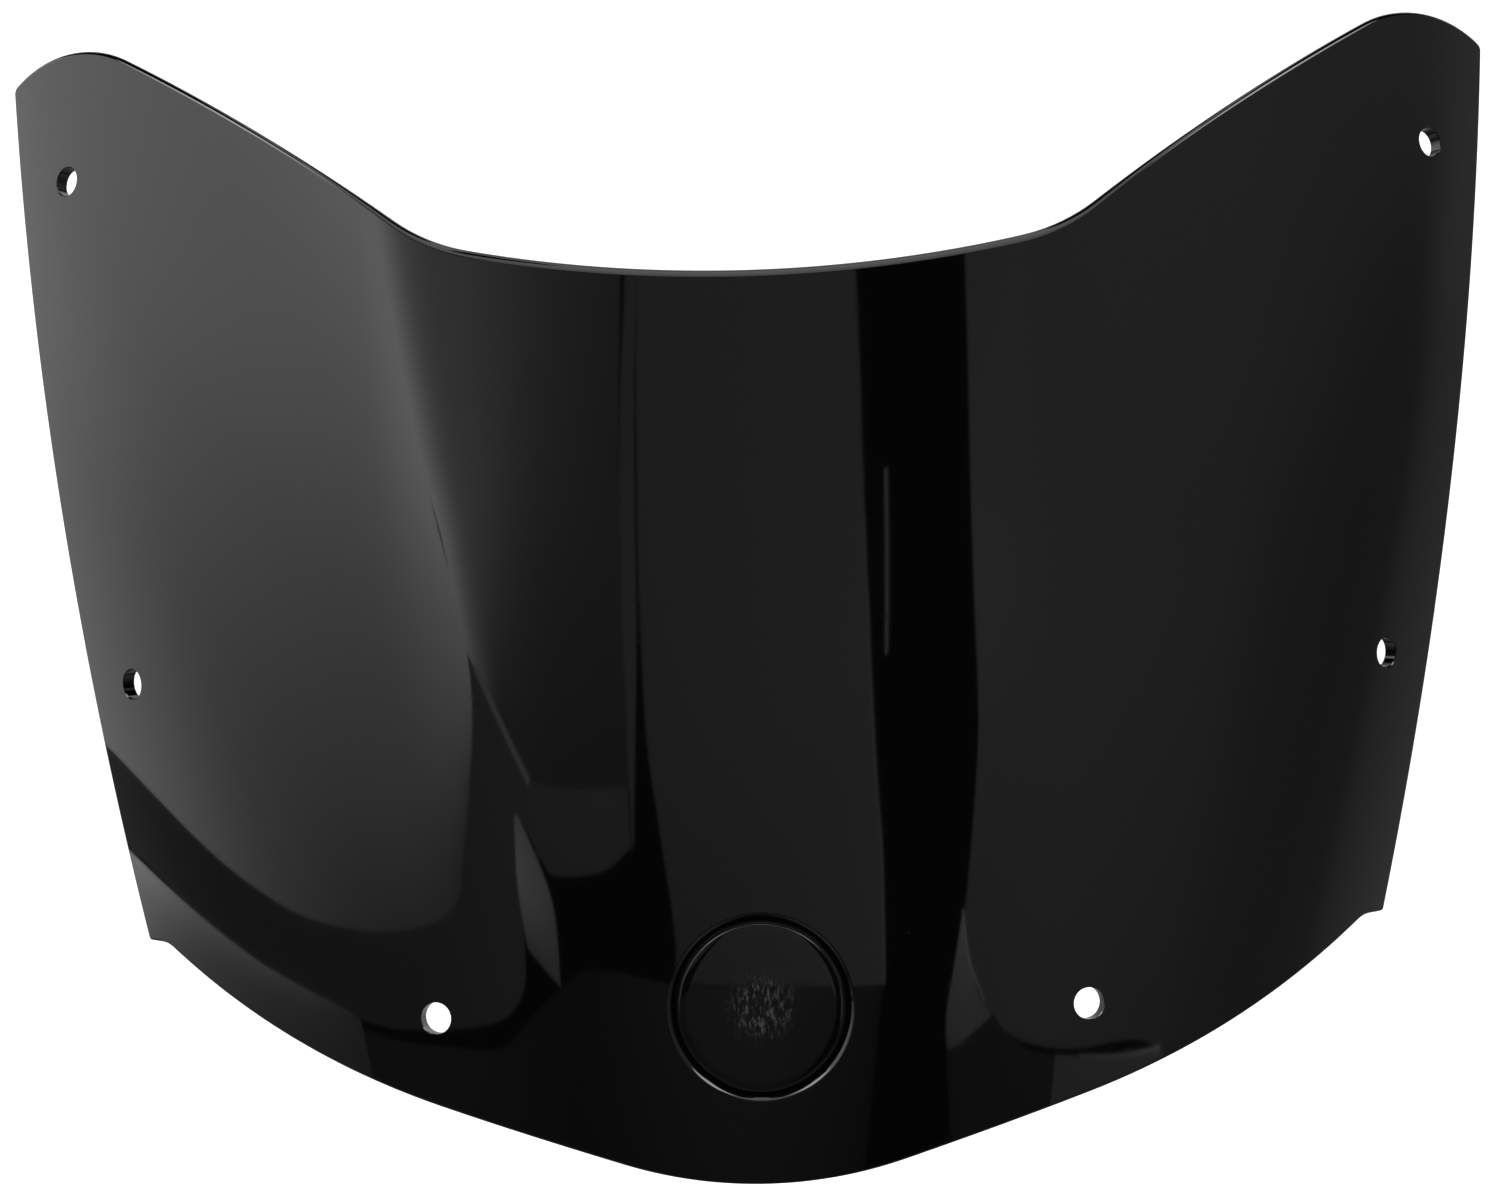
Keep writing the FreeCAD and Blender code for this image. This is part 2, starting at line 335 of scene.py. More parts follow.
def scuffedBlank(centre):
    # a moulded gloss badge blank: black and glassy, rubbed to a faint grey in the middle
    b = blank
    material, tree = newMaterial("blackAbsMouldedGloss")
    place = addNode(tree, "ShaderNodeTexCoord").outputs["Object"]
    fromCentre = addNode(tree, "ShaderNodeVectorMath", {"operation": "DISTANCE"},
                         {0: place}, {1: centre})
    rubbed = addNode(tree, "ShaderNodeMapRange", {"interpolation_type": "SMOOTHSTEP"},
                     {"Value": fromCentre.outputs["Value"]},
                     {"From Min": b["scuffRadius"], "From Max": b["scuffRadius"] * b["scuffCore"]})
    drawn = addNode(tree, "ShaderNodeMapping", None, {"Vector": place},
                    {"Rotation": b["scratchTurn"], "Scale": b["scratchStretch"]})
    scratches = addNode(tree, "ShaderNodeTexNoise", None, {"Vector": drawn.outputs["Vector"]},
                        {"Scale": 1 / b["scratchSpacing"], "Detail": b["scratchDetail"],
                         "Roughness": b["scratchUnevenness"]})
    streaks = addNode(tree, "ShaderNodeMapRange", None, {"Value": scratches.outputs["Fac"]},
                      {"From Min": b["scratchStart"], "From Max": b["scratchFull"]})
    scuff = addNode(tree, "ShaderNodeMath", {"operation": "MULTIPLY"},
                    {0: rubbed.outputs["Result"], 1: streaks.outputs["Result"]})
    finish = addNode(tree, "ShaderNodeMapRange", None, {"Value": scuff.outputs["Value"]},
                     {"To Min": b["roughness"], "To Max": b["scuffRoughness"]})
    tint = addNode(tree, "ShaderNodeMix", {"data_type": "RGBA"},
                   {"Factor": scuff.outputs["Value"]},
                   {"A": linear(b["colour"]), "B": linear(b["scuffColour"])})
    bump = addNode(tree, "ShaderNodeBump", None, {"Height": scuff.outputs["Value"]},
                   {"Strength": b["scratchStrength"], "Distance": b["scratchDepth"]})
    finishMaterial(tree, {"Roughness": finish.outputs["Result"], "Normal": bump.outputs["Normal"],
                          "Base Color": tint.outputs["Result"]}, {"IOR": b["ior"]})
    return material


foam = {
    "colour": "#1c1c1d",
    # painted shade: the colour at the bottom of each cell's hollow
    "paintedCellShadeColour": "#0c0c0d",
    "cellSize": 0.5 * mm,      # twice the size of real foam tape's cells
    "cellDepth": 0.1 * mm,
    "cellStrength": 0.8,
    "roughness": 0.85,
}


def adhesiveFoam():
    # die-cut acrylic foam tape: dull black, with fine open cells along its cut rim, each cell
    # painted darker towards its hollow middle as painted shade
    f = foam
    material, tree = newMaterial("blackFoamTapeDieCut")
    place = addNode(tree, "ShaderNodeTexCoord").outputs["Object"]
    cells = addNode(tree, "ShaderNodeTexVoronoi", {"feature": "F1"}, {"Vector": place},
                    {"Scale": 1 / f["cellSize"]})
    # painted shade: each cell is painted darker towards its middle, where the bump sinks it
    tint = addNode(tree, "ShaderNodeMix", {"data_type": "RGBA"},
                   {"Factor": cells.outputs["Distance"]},
                   {"A": linear(f["paintedCellShadeColour"]), "B": linear(f["colour"])})
    bump = addNode(tree, "ShaderNodeBump", None, {"Height": cells.outputs["Distance"]},
                   {"Strength": f["cellStrength"], "Distance": f["cellDepth"]})
    finishMaterial(tree, {"Base Color": tint.outputs["Result"],
                          "Normal": bump.outputs["Normal"]}, {"Roughness": f["roughness"]})
    return material


sheetMesh = {
    "columnStep": 2.6 * mm,    # at the sheet's widest
    "earColumns": 8,           # columns over the stepped lower corner
    "rowStep": 3.4 * mm,
    "edgeRow": 5.0 * mm,       # first and last rows, wide enough for the rounded edge
    "saddleRounding": 3.2 * mm,  # outer face, along the middle of the top edge
    "slopeRounding": 1.7 * mm,   # outer face, along the slopes and the horns
    "rimRounding": 0.9 * mm,     # outer face, along the sides and the foot
    "backRounding": 0.6 * mm,
    "roundingSteps": 6,
    "saddleShare": 0.35,       # shares of the half width between which the saddle's
    "slopeShare": 0.55,        # rounding narrows to the slope's
    "cutAngle": math.radians(50),     # edges sharper than this are cut edges
    "smoothAngle": math.radians(32),
    "skinAngle": math.radians(4),     # a face this near to the mould's curve is its skin
    "skinRimAngle": math.radians(20),  # how far its shading reaches into the roundings
}


def stops(low, high, step):
    count = max(1, round((high - low) / step))
    return [low + (high - low) * i / count for i in range(count + 1)]


def formedSheet():
    # a flat grid is drawn to the outline, draped over the mould and given its thickness
    m = sheetMesh
    stepShare = 1 - 2 * outline["earStep"] / ear.x
    columns = stops(0, stepShare, m["columnStep"] / corner.x)
    columns += stops(stepShare, 1, (1 - stepShare) / m["earColumns"])[1:]
    columns = [-c for c in reversed(columns[1:])] + columns
    height = corner.y - ear.y
    edge = m["edgeRow"] / height
    rows = [0.0, *stops(edge, 1 - edge, m["rowStep"] / height), 1.0]
    bpy.ops.mesh.primitive_grid_add(x_subdivisions=len(columns) - 1, y_subdivisions=len(rows) - 1,
                                    size=1.0, location=(0, 0, 0))
    sheet = bpy.context.object
    sheet.name = "screenPanel"
    for vertex in sheet.data.vertices:
        # across runs from -1 to 1, and up from 0 at the foot to 1 at the top edge
        across = columns[round((vertex.co.x + 0.5) * (len(columns) - 1))]
        up = rows[round((vertex.co.y + 0.5) * (len(rows) - 1))]
        x = across * sideEdge(ear.y + height * up)
        z = (1 - up) * footEdge(across * ear.x) + up * topEdge(across * corner.x)
        vertex.co = onSheet(x, z)
    wall = sheet.modifiers.new("wall", "SOLIDIFY")
    wall.thickness = sheetShape["thickness"]
    wall.offset = -1
    wall.use_even_offset = True
    applyAll(sheet)
    turnOutwards(sheet)
    return sheet


def edgeRounding(edge):
    # how far a cut edge is rounded: most along the middle of the top edge
    m = sheetMesh
    middle = (edge.verts[0].co + edge.verts[1].co) / 2
    direction = (edge.verts[1].co - edge.verts[0].co).normalized()
    x, z, inwards = sheetCoordinates(middle)
    throughSheet = abs(direction.dot(outwardNormal(x, z))) > 0.7
    if throughSheet:
        upper = z > outline["saddleHeight"]
        return outline["upperCornerRadius"] if upper else outline["earCornerRadius"]
    if inwards > sheetShape["thickness"] / 2:
        return m["backRounding"]
    if z > topEdge(x) - m["edgeRow"] / 2:
        away = softStep(m["saddleShare"], m["slopeShare"], abs(x) / corner.x)
        return m["saddleRounding"] * (1 - away) + m["slopeRounding"] * away
    return m["rimRounding"]


def roundEdges(sheet):
    # one bevel, with each cut edge's weight as its share of the widest rounding
    m = sheetMesh
    mesh = bmesh.new()
    mesh.from_mesh(sheet.data)
    mesh.normal_update()
    weight = mesh.edges.layers.float.new("bevel_weight_edge")
    for edge in mesh.edges:
        if edge.calc_face_angle() > m["cutAngle"]:
            edge[weight] = min(edgeRounding(edge) / m["saddleRounding"], 1.0)
    mesh.to_mesh(sheet.data)
    mesh.free()
    rounding = sheet.modifiers.new("rounding", "BEVEL")
    rounding.limit_method = "WEIGHT"
    rounding.width = m["saddleRounding"]
    rounding.segments = m["roundingSteps"]
    rounding.use_clamp_overlap = False
    applyAll(sheet)


holes = {
    "diameter": 9.5 * mm,      # for a rubber well nut
    "chamfer": 0.3 * mm,
    "upperHeight": 266.4 * mm,
    "upperInset": 19.0 * mm,   # from the side edge
    "middleHeight": 101.4 * mm,
    "middleInset": 17.0 * mm,
    "lowerSpacing": 196.0 * mm,
    "sides": 96,
}


def holeCentres():
    # three pairs; the lower pair is at height 0
    h = holes
    places = [(sideEdge(h["upperHeight"]) - h["upperInset"], h["upperHeight"]),
              (sideEdge(h["middleHeight"]) - h["middleInset"], h["middleHeight"]),
              (h["lowerSpacing"] / 2, 0.0)]
    return [(side * x, z) for x, z in places for side in (-1, 1)]


def selectEnd(piece, end):
    # in edit mode, selects just the faces that look up (1) or down (-1)
    mesh = bmesh.from_edit_mesh(piece.data)
    bpy.ops.mesh.select_all(action="DESELECT")
    for face in mesh.faces:
        if face.normal.z * end > 0.9:
            face.select_set(True)
    mesh.select_flush_mode()
    bmesh.update_edit_mesh(piece.data)


def holeCutter(x, z):
    # a drill, flared at both faces so that it leaves a small chamfer
    h = holes
    radius = h["diameter"] / 2
    reach = 4 * h["chamfer"]   # the flare runs on past the face
    flare = 1 + reach / radius
    bpy.ops.mesh.primitive_cylinder_add(vertices=h["sides"], radius=radius,
                                        depth=sheetShape["thickness"] - 2 * h["chamfer"])
    drill = bpy.context.object
    bpy.ops.object.mode_set(mode="EDIT")
    for end in (1, -1):
        selectEnd(drill, end)
        bpy.ops.mesh.extrude_region_move(TRANSFORM_OT_translate={"value": (0, 0, end * reach)})
        bpy.ops.transform.resize(value=(flare, flare, 1))
    bpy.ops.object.mode_set(mode="OBJECT")
    drill.rotation_mode = "QUATERNION"
    drill.rotation_quaternion = outwardNormal(x, z).to_track_quat("Z", "Y")
    drill.location = onSheet(x, z, sheetShape["thickness"] / 2)
    bpy.ops.object.transform_apply()
    return drill


badge = {
    "height": 2.5 * mm,        # its centre, above the lower holes
    "diameter": 49.2 * mm,
    "thickness": 1.3 * mm,
    "padDiameter": 44.0 * mm,
    "padThickness": 0.5 * mm,
    "clearance": 0.4 * mm,
    "pocketDepth": 2.2 * mm,
    "wallRun": 3.0 * mm,
    "wallSteps": 16,
    "wallShare": 0.97,         # the wall's S stops short of flat, so that it crosses the face
    "cutterRise": 0.6 * mm,
    "rimRounding": 0.45 * mm,
    "padRounding": 0.05 * mm,
    "rimSteps": 4,
    "sides": 160,
    "rings": 10,
    "weld": 0.002 * mm,
    "smoothAngle": math.radians(35),
}


def rolledBody(name, profile):
    # a grid is rolled round into a body with this profile of (radius, depth) points, closed up
    # on its axis, and bent to lie in the sheet round the badge's centre
    sides = badge["sides"]
    bpy.ops.mesh.primitive_grid_add(x_subdivisions=sides, y_subdivisions=len(profile) - 1,
                                    size=1.0, location=(0, 0, 0))
    body = bpy.context.object
    body.name = name
    for vertex in body.data.vertices:
        turn = 2 * math.pi * (vertex.co.x + 0.5)
        radius, depth = profile[round((vertex.co.y + 0.5) * (len(profile) - 1))]
        vertex.co = onSheet(radius * math.cos(turn), badge["height"] + radius * math.sin(turn),
                            depth)
    bpy.ops.object.mode_set(mode="EDIT")
    bpy.ops.mesh.select_all(action="SELECT")
    bpy.ops.mesh.remove_doubles(threshold=badge["weld"])
    bpy.ops.object.mode_set(mode="OBJECT")
    turnOutwards(body)
    return body


def pocketCutter():
    # a round dish with a soft S-shaped wall, like a recess pressed into hot sheet
    b = badge
    floorRadius = b["diameter"] / 2 + b["clearance"]
    profile = [(floorRadius * i / b["rings"], b["pocketDepth"]) for i in range(b["rings"] + 1)]
    for i in range(1, b["wallSteps"] + 1):
        share = b["wallShare"] * i / b["wallSteps"]
        profile.append((floorRadius + b["wallRun"] * share,
                        b["pocketDepth"] * (1 - softStep(0, 1, share))))
    (innerRadius, innerDepth), (outerRadius, outerDepth) = profile[-2:]
    above = b["cutterRise"]
    climb = (innerDepth - outerDepth) / (outerRadius - innerRadius)
    lip = outerRadius + above
    profile += [(lip, outerDepth - above * climb), (lip, -2 * above), (0, -2 * above)]
    return rolledBody("pocketCutter", profile)


def cutHoles(sheet):
    cutters = [holeCutter(x, z) for x, z in holeCentres()] + [pocketCutter()]
    only(cutters[0])
    for cutter in cutters:
        cutter.select_set(True)
    bpy.ops.object.join()
    cutter = bpy.context.object
    cut = sheet.modifiers.new("cut", "BOOLEAN")
    cut.operation = "DIFFERENCE"
    cut.solver = "EXACT"
    cut.object = cutter
    applyAll(sheet)
    only(cutter)
    bpy.ops.object.delete()


def shadeAsMould(sheet):
    # both faces shade by the mould's own curve, so that the cuts leave no dents in the gloss
    m = sheetMesh
    data = sheet.data
    skin = set()
    for polygon in data.polygons:
        x, z, _ = sheetCoordinates(polygon.center)
        if abs(polygon.normal.dot(outwardNormal(x, z))) > math.cos(m["skinAngle"]):
            skin.update(polygon.vertices)
    smooth = {}
    for index in skin:
        x, z, _ = sheetCoordinates(data.vertices[index].co)
        smooth[index] = outwardNormal(x, z)
    normals = [(0, 0, 0)] * len(data.loops)
    for polygon in data.polygons:
        for loop in polygon.loop_indices:
            normal = smooth.get(data.loops[loop].vertex_index)
            if normal and abs(polygon.normal.dot(normal)) > math.cos(m["skinRimAngle"]):
                normals[loop] = normal if polygon.normal.dot(normal) > 0 else -normal
    data.normals_split_custom_set(normals)


def screenPanel():
    sheet = formedSheet()
    roundEdges(sheet)
    cutHoles(sheet)
    only(sheet)
    bpy.ops.object.shade_smooth_by_angle(angle=sheetMesh["smoothAngle"])
    shadeAsMould(sheet)
    return sheet


def discProfile(radius, front, back, rounding):
    # from the middle of the front, over a rounded rim, to the middle of the back
    rings, rimSteps = badge["rings"], badge["rimSteps"]
    flat = radius - rounding
    profile = [(flat * i / rings, front) for i in range(rings + 1)]
    for i in range(1, rimSteps + 1):
        turn = math.radians(90) * i / rimSteps
        profile.append((flat + rounding * math.sin(turn), front + rounding * (1 - math.cos(turn))))
    return profile + [(radius * i / rings, back) for i in range(rings, -1, -1)]


def badgePieces():
    # the disc lies on the pad, and the pad on the pocket's floor
    b = badge
    padFront = b["pocketDepth"] - b["padThickness"]
    discFront = padFront - b["thickness"]
    disc = rolledBody("badgeDisc", discProfile(b["diameter"] / 2, discFront, padFront,
                                               b["rimRounding"]))
    pad = rolledBody("badgeAdhesivePad", discProfile(b["padDiameter"] / 2, padFront,
                                                     b["pocketDepth"], b["padRounding"]))
    for piece in (disc, pad):
        only(piece)
        bpy.ops.object.shade_smooth_by_angle(angle=b["smoothAngle"])
    return disc, pad


cameraSetup = {
    "lens": 72.0,
    "sensor": 36.0,
    "distance": 900.0 * mm,
    "target": (-0.35 * mm, 10.8 * mm, 123.5 * mm),
    "azimuth": math.radians(1.23),
    "roll": math.radians(-1.49),
}


def camera():
    c = cameraSetup
    forward = Vector((-math.sin(c["azimuth"]), math.cos(c["azimuth"]), 0))
    level = Vector((math.cos(c["azimuth"]), math.sin(c["azimuth"]), 0))
    right = level * math.cos(c["roll"]) + Vector((0, 0, 1)) * math.sin(c["roll"])
    up = right.cross(forward)
    data = bpy.data.cameras.new("camera")
    data.lens = c["lens"]
    data.sensor_width = c["sensor"]
    shot = bpy.data.objects.new("camera", data)
    turn = Matrix((right, up, -forward)).transposed().to_4x4()
    shot.matrix_world = Matrix.Translation(Vector(c["target"]) - forward * c["distance"]) @ turn
    bpy.context.scene.collection.objects.link(shot)
    bpy.context.scene.camera = shot


# What the gloss mirrors stands round the screen as cards. A card is a row of ribs from left to
# right, and each rib runs upwards through points of (compass angle, height angle, glow). Angles
# are in degrees from the screen: 0 is straight in front and minus is to the left. A ceiling
# card's height angle runs on past 90 to behind. Later cards stand in front of earlier ones.
cards = {
    "wallBelowWindow": [
        [(-122, -9.3, 0.20), (-122, 0, 0.20)],
        [(-92, -11.0, 0.12), (-92, 0, 0.12)],
        [(-67, -10.3, 0.13), (-67, 0, 0.13)],
        [(-50, -9.0, 0.14), (-50, 0, 0.14)],
        [(-41, -7.9, 0.14), (-41, 6, 0.16)],
        [(-32, -6.6, 0.16), (-32, 10, 0.18)],
        [(-26.4, -5.6, 0.18), (-26.4, 13, 0.20)],
        [(-23.6, -4.6, 0.19), (-23.6, 12.5, 0.22)],
        [(-22.1, -3.4, 0.19), (-22.1, 11, 0.22)],
        [(-21.5, -1.5, 0.19), (-21.5, 10, 0.22)],
        [(-20.9, 4.3, 0.20), (-20.9, 9, 0.23)],
        [(-18.6, 2.9, 0.22), (-18.6, 7, 0.24)],
        [(-17.3, 2.2, 0.22), (-17.3, 7.2, 0.24)],
        [(-12.7, 2.7, 0.23), (-12.7, 7.2, 0.26)],
        [(-10.1, 4.0, 0.23), (-10.1, 7.2, 0.25)],
    ],
    "window": [
        [(-122, -6.3, 1.2), (-122, 3, 1.45), (-122, 12, 1.85), (-122, 24, 1.9), (-122, 40, 1.9)],
        [(-93, -7.6, 1.1), (-93, 3, 1.35), (-93, 11, 1.8), (-92, 22, 1.9), (-92, 40, 1.9)],
        [(-70, -7.1, 0.66), (-72, 3, 0.98), (-72, 12, 1.5), (-70, 22, 1.92), (-70, 40, 2.0)],
        [(-50, -4.9, 0.38), (-48, 3, 0.70), (-50, 12, 1.15), (-52, 22, 1.8), (-52, 40, 2.3)],
        [(-36, -2.4, 0.33), (-37, 3, 0.62), (-37, 12, 1.05), (-37, 22, 1.75), (-38, 40, 3.0)],
        [(-31, -0.8, 0.30), (-30, 3, 0.50), (-29.5, 12, 1.30), (-32, 22, 2.2), (-37, 40, 2.8)],
        [(-29.4, 0.3, 0.26), (-26.4, 5.5, 0.42), (-25.0, 12, 1.45), (-29.4, 22, 2.5),
         (-36, 40, 2.4)],
    ],
    "windowGlow": [
        [(-25.0, 12, 1.45), (-26.9, 17, 2.3), (-29.4, 22, 2.5), (-36, 40, 2.4)],
        [(-23.9, 11, 0.90), (-24.6, 17, 1.0), (-26.3, 22.5, 1.0), (-32, 40, 1.0)],
        [(-21.8, 9.3, 0.22), (-21.9, 17, 0.55), (-21.9, 22, 0.62), (-22, 34, 0.62)],
        [(-18.9, 6.6, 0.15), (-17.5, 15, 0.24), (-16.0, 22, 0.31), (-15, 33, 0.34)],
        [(-9.9, 6.9, 0.13), (-9.9, 15, 0.17), (-9.8, 22, 0.19), (-9.6, 32.5, 0.22)],
    ],
    "glowEdge": [
        [(-24.4, 11.2, 0.62), (-24.1, 11.6, 0.62)],
        [(-19.3, 6.3, 0.62), (-19.0, 6.7, 0.62)],
    ],
    "doorFrame": [
        [(-10.0, 3.8, 0.25), (-9.9, 15, 0.30), (-9.7, 24, 0.27), (-9.2, 32.5, 0.27)],
        [(-9.8, 4.2, 0.25), (-8.9, 15, 0.30), (-8.7, 24, 0.27), (-8.4, 32.5, 0.27)],
    ],
    "lampLeft": [
        [(-21.2, -1.6, 0.35), (-21.6, 1.5, 0.95), (-21.2, 4.6, 0.80)],
        [(-17.8, -3.1, 0.35), (-17.8, 1.0, 0.62), (-20.8, 4.8, 0.80)],
    ],
    "wallMiddle": [
        [(-7.2, -2.3, 0.20), (-7.1, 0, 0.21), (-7.8, 5, 0.24), (-8.6, 12, 0.26),
         (-8.4, 32.5, 0.29)],
        [(7.8, -2.8, 0.30), (7.6, 3, 0.31), (7.0, 8, 0.31), (6.5, 14, 0.33), (5.9, 32.5, 0.30)],
    ],
    "doorEdge": [
        [(7.75, -2.8, 0.45), (7.5, 3, 0.45), (6.9, 8, 0.45), (6.4, 14, 0.45), (6.1, 20, 0.4)],
        [(7.95, -2.8, 0.45), (7.7, 3, 0.45), (7.1, 8, 0.45), (6.6, 14, 0.45), (6.3, 20, 0.4)],
    ],
    "slit": [
        [(7.7, 13, 0.55), (7.75, 22, 0.55)],
        [(7.95, 13, 0.55), (8.0, 22, 0.55)],
    ],
    "wallRight": [
        [(15.3, -0.8, 0.26), (16.1, 7.5, 0.33), (15.4, 14.6, 0.39), (14.8, 22, 0.36),
         (14.5, 33, 0.31)],
        [(16.3, -2.6, 0.26), (17, 7.5, 0.33), (16.5, 14.6, 0.39), (16, 22, 0.36),
         (16, 33, 0.32)],
        [(18.3, -4.6, 0.26), (19, 7.5, 0.33), (19, 14.6, 0.38), (19, 22, 0.36), (19, 40, 0.33)],
        [(22, -6.5, 0.27), (23, 7.5, 0.33), (23, 14.6, 0.35), (23, 22, 0.34), (23, 40, 0.34)],
        [(30, -8.2, 0.27), (31, 7.5, 0.33), (31, 14.6, 0.33), (31, 22, 0.34), (31, 40, 0.35)],
        [(51, -11.4, 0.22), (48, 7.5, 0.30), (47, 14.6, 0.31), (45, 22, 0.33), (45, 40, 0.34)],
        [(55, -18, 0.17), (54, 6, 0.27), (53, 14, 0.29), (52, 22, 0.32), (52, 40, 0.33)],
        [(68, -24, 0.15), (66, 5, 0.19), (64, 13, 0.24), (60, 22, 0.29), (60, 40, 0.32)],
        [(88, -24, 0.17), (88, 3, 0.14), (85, 12, 0.16), (80, 22, 0.25), (80, 40, 0.30)],
        [(98, -24, 0.24), (97, 3, 0.25), (94, 12, 0.33), (92, 22, 0.33), (92, 40, 0.33)],
        [(122, -24, 0.34), (122, 3, 0.30), (122, 12, 0.34), (122, 22, 0.34), (122, 40, 0.34)],
    ],
    "benchLeft": [
        [(-122, -22, 0.4), (-122, -14, 0.6), (-122, -9.3, 1.4)],
        [(-108, -22, 0.2), (-108, -13.5, 0.45), (-108, -10.4, 1.5)],
        [(-95, -22, 0.12), (-94, -13.2, 0.40), (-95, -10.9, 1.0)],
        [(-82, -22, 0.1), (-82, -12.8, 0.34), (-82, -10.8, 0.8)],
        [(-69, -22, 0.1), (-69, -12.2, 0.28), (-69, -10.2, 0.6)],
        [(-60, -22, 0.1), (-60, -11.6, 0.24), (-60, -9.6, 0.40)],
        [(-54, -22, 0.1), (-54, -11.2, 0.20), (-54, -9.3, 0.22)],
    ],
    "benchMiddle": [
        [(-54, -22, 0.05), (-54, -9.8, 0.08)],
        [(-44, -22, 0.05), (-44, -8.9, 0.08)],
        [(-34.7, -22, 0.05), (-34.7, -7.8, 0.08)],
        [(-26.8, -22, 0.04), (-26.8, -6.9, 0.07)],
        [(-21.9, -22, 0.04), (-21.9, -5.0, 0.06)],
        [(-18, -22, 0.04), (-17.8, -3.1, 0.05)],
        [(-14, -22, 0.04), (-14, -1.9, 0.06)],
        [(-8, -22, 0.05), (-7.4, -2.4, 0.10)],
        [(-2, -22, 0.06), (-2, -2.6, 0.12)],
        [(4.0, -22, 0.03), (6.0, -2.8, 0.08)],
        [(5.0, -22, 0.02), (7.8, -2.9, 0.05)],
    ],
    "benchFarRight": [
        [(18.0, -22, 0.05), (13.9, -5.5, 0.07)],
        [(19.0, -22, 0.06), (15.8, -6.2, 0.08)],
        [(21.0, -22, 0.06), (18.6, -5.0, 0.08)],
        [(24, -22, 0.06), (22.5, -6.8, 0.09)],
        [(29.5, -22, 0.07), (29.5, -8.4, 0.09)],
        [(60, -22, 0.12), (60, -13.0, 0.12)],
    ],
    "benchRight": [
        [(29.6, -15, 0.24), (29.6, -8.4, 0.32)],
        [(38, -16, 0.24), (38, -9.7, 0.34)],
        [(53, -17, 0.26), (53, -11.8, 0.36)],
    ],
    "lampRight": [
        [(13.9, -4.6, 0.38), (14.5, -2.5, 0.55), (15.1, -0.2, 0.68)],
        [(14.4, -6.3, 0.34), (15.0, -3.0, 0.50), (15.2, -0.2, 0.70)],
        [(17.4, -5.8, 0.42), (16.2, -3.5, 0.50), (15.3, -0.5, 0.70)],
        [(19.4, -5.3, 0.40), (17.4, -4.0, 0.45), (15.6, -1.6, 0.60)],
    ],
    "panelEdge": [
        [(15.05, 0.2, 0.8), (16.1, -2.4, 0.85), (18.2, -4.6, 0.6)],
        [(15.3, 0.2, 0.8), (16.35, -2.4, 0.85), (18.4, -4.5, 0.6)],
    ],
    "benchEdge": [
        [(34, -9.2, 0.45), (34, -9.0, 0.45)],
        [(42, -10.4, 0.6), (42, -10.2, 0.6)],
        [(52, -11.7, 0.7), (52, -11.4, 0.7)],
    ],
    "ceilingMiddle": [
        [(-16, 37, 1.2), (-16, 60, 1.7), (-5, 80, 1.7), (-3.5, 103, 1.3), (-6, 125, 0.15),
         (-12, 168, 0.08)],
        [(0, 37, 1.2), (0, 60, 1.7), (0, 80, 1.8), (0, 103, 1.4), (0, 125, 0.15),
         (0, 168, 0.08)],
        [(16, 37, 1.2), (16, 60, 1.7), (5, 80, 1.7), (3.5, 103, 1.3), (6, 125, 0.15),
         (12, 168, 0.08)],
    ],
    "ceilingLeft": [
        [(-50, 62, 3.0), (-46, 70, 5.0), (-38, 82, 2.0)],
        [(-41, 48, 6.0), (-33, 57, 9.0), (-22, 71, 6.0)],
        [(-25, 40, 2.0), (-20, 51, 4.0), (-13, 68, 1.5)],
    ],
    "ceilingRight": [
        [(25, 40, 2.0), (20, 51, 4.0), (13, 68, 1.5)],
        [(41, 48, 6.0), (33, 57, 9.0), (22, 71, 6.0)],
        [(50, 62, 3.0), (46, 70, 5.0), (38, 82, 2.0)],
    ],
    "behind": [
        [(132, -65, 0.10), (132, -30, 0.35), (132, 10, 0.6), (132, 55, 0.9)],
        [(158, -65, 0.15), (158, -30, 0.60), (158, 10, 1.1), (158, 55, 1.5)],
        [(180, -65, 0.10), (180, -30, 0.35), (180, 10, 0.6), (180, 55, 0.8)],
        [(205, -65, 0.08), (205, -30, 0.25), (205, 10, 0.4), (205, 55, 0.5)],
        [(228, -65, 0.10), (228, -30, 0.35), (228, 10, 0.5), (228, 55, 0.6)],
    ],
    "below": [
        [(-122, -80, 0.10), (-122, -50, 0.5), (-122, -24, 0.2)],
        [(-70, -80, 0.10), (-70, -50, 0.4), (-70, -24, 0.15)],
        [(-30, -80, 0.05), (-30, -50, 0.2), (-30, -24, 0.07)],
        [(0, -80, 0.03), (0, -50, 0.1), (0, -24, 0.05)],
        [(30, -80, 0.05), (30, -50, 0.2), (30, -24, 0.07)],
        [(70, -80, 0.10), (70, -50, 0.35), (70, -24, 0.12)],
        [(122, -80, 0.10), (122, -50, 0.3), (122, -24, 0.15)],
    ],
}
cardPlace = {
    "distance": 30.0,          # metres, so that every part of the screen sees them alike
    "gap": 0.3,                # from each card to the next
    "steps": 6,                # mesh steps between two points of a rib
}


def cardDirection(yaw, rise, ceiling):
    yaw, rise = math.radians(yaw), math.radians(rise)
    if ceiling:
        # here the compass angle is a sideways lean away from the arch over the top
        arch = Vector((0, -math.cos(rise), math.sin(rise))) * math.cos(yaw)
        return arch + Vector((math.sin(yaw), 0, 0))
    level = Vector((math.sin(yaw), -math.cos(yaw), 0)) * math.cos(rise)
    return level + Vector((0, 0, math.sin(rise)))


def smoothly(points, place):
    # runs smoothly through a list of points; place 0 is the first, 1 the second and so on
    last = len(points) - 1
    i = min(int(place), last - 1)
    t = place - i
    before, start, end, after = (points[min(max(k, 0), last)] for k in range(i - 1, i + 3))
    shares = (t * (-1 + t * (2 - t)) / 2, 1 + t * t * (-5 + 3 * t) / 2,
              t * (1 + t * (4 - 3 * t)) / 2, t * t * (t - 1) / 2)
    return [sum(s * v for s, v in zip(shares, values))
            for values in zip(before, start, end, after)]


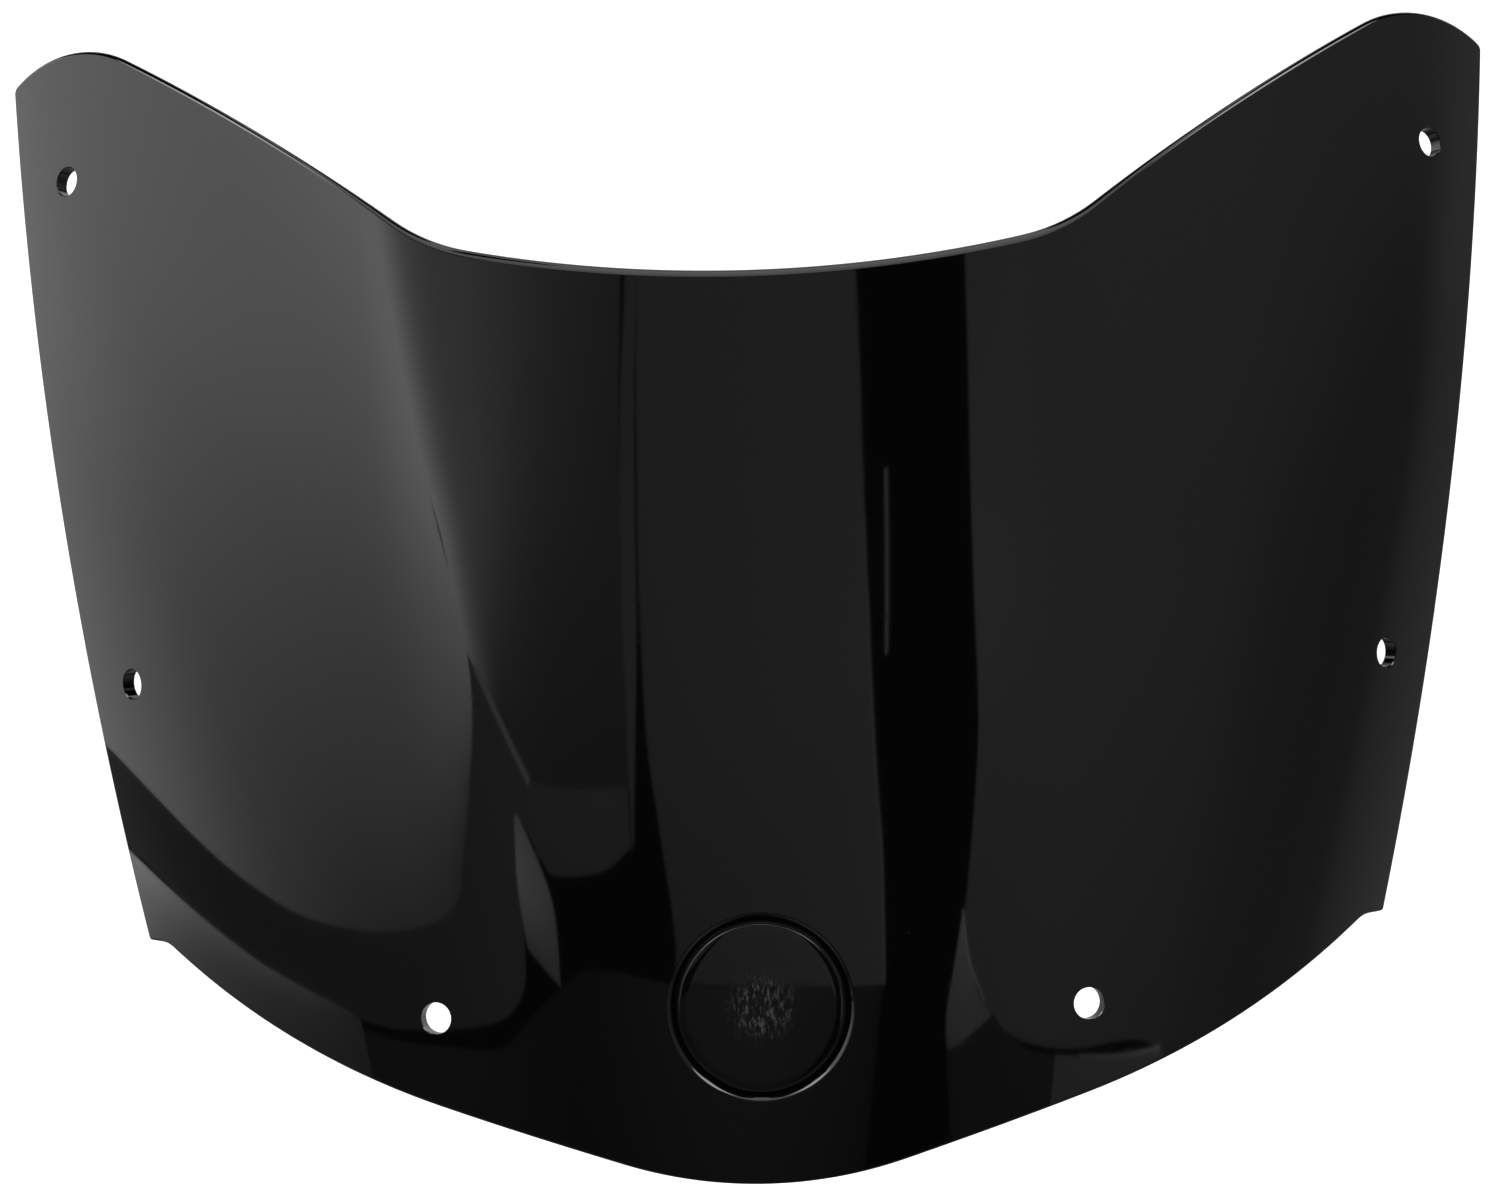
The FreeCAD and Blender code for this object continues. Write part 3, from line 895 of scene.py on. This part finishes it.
def studioCard(name, ribs, distance, material):
    # a grid bent to the ribs, seen only in the gloss
    across, along, steps = len(ribs) - 1, len(ribs[0]) - 1, cardPlace["steps"]
    bpy.ops.mesh.primitive_grid_add(x_subdivisions=across * steps, y_subdivisions=along * steps,
                                    size=1.0, location=(0, 0, 0))
    card = bpy.context.object
    card.name = name
    glow = card.data.attributes.new("glow", "FLOAT", "POINT")
    for vertex in card.data.vertices:
        up = (vertex.co.y + 0.5) * along
        row = [smoothly(rib, up) for rib in ribs]
        yaw, rise, level = smoothly(row, (vertex.co.x + 0.5) * across)
        vertex.co = cardDirection(yaw, rise, name.startswith("ceiling")) * distance
        glow.data[vertex.index].value = max(level, 0)
    card.data.materials.append(material)
    card.visible_camera = False
    card.visible_diffuse = False
    card.visible_shadow = False


def reflections():
    material, tree = newMaterial("cardGlow")
    level = addNode(tree, "ShaderNodeAttribute", {"attribute_name": "glow"})
    light = addNode(tree, "ShaderNodeEmission", None, {"Strength": level.outputs["Fac"]})
    addNode(tree, "ShaderNodeOutputMaterial", None, {"Surface": light.outputs["Emission"]})
    material.cycles.emission_sampling = "NONE"
    for order, (name, ribs) in enumerate(cards.items()):
        studioCard(name, ribs, cardPlace["distance"] - order * cardPlace["gap"], material)


floorBoard = {
    "size": 60.0,
    "drop": 120 * mm,          # the screen is held clear of the floor
    "colour": "#f6f6f4",
}


def floor():
    # matt painted board: pale and even, so that it carries only soft shadows
    bpy.ops.mesh.primitive_plane_add(size=floorBoard["size"],
                                     location=(0, 0, outline["tip"] - floorBoard["drop"]))
    board = bpy.context.object
    board.name = "floor"
    material, tree = newMaterial("palePaintedBoard")
    finishMaterial(tree, None, {"Base Color": linear(floorBoard["colour"]), "Roughness": 0.9})
    board.data.materials.append(material)
    board.visible_glossy = False


lighting = {
    "room": 1.3,              # bright enough that the floor and the room burn out to white
    "lampSize": 3.0,
    "lampHeight": 3.0,
    "lampPower": 60.0,
}


def lights():
    world = bpy.data.worlds.new("whiteRoom")
    bpy.context.scene.world = world
    world.use_nodes = True
    world.node_tree.nodes["Background"].inputs["Color"].default_value = (1, 1, 1, 1)
    world.node_tree.nodes["Background"].inputs["Strength"].default_value = lighting["room"]
    world.cycles_visibility.glossy = False
    data = bpy.data.lights.new("overhead", "AREA")
    data.size = lighting["lampSize"]
    data.energy = lighting["lampPower"]
    lamp = bpy.data.objects.new("overhead", data)
    lamp.location = (0, 0, lighting["lampHeight"])
    lamp.visible_glossy = False
    lamp.visible_camera = False
    bpy.context.scene.collection.objects.link(lamp)
    bpy.context.scene.view_settings.view_transform = "Standard"


deselect()
camera()
floor()
reflections()
lights()
print("studio and camera set")

panel = screenPanel()
print("sheet formed, drilled and recessed")
disc, pad = badgePieces()
print("badge made")

pieces = [
    (panel, "screen_panel", "gloss_black_sheet", glossAcrylic()),
    (disc, "badge_disc", "badge_black", scuffedBlank(onSheet(0, badge["height"]))),
    (pad, "badge_adhesive_pad", "adhesive_foam", adhesiveFoam()),
]
for piece, node, slot, material in pieces:
    piece.data.materials.clear()
    piece.data.materials.append(material)
    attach(piece, "root")
    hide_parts(node)
    print(piece.name, len(piece.data.polygons), "faces")
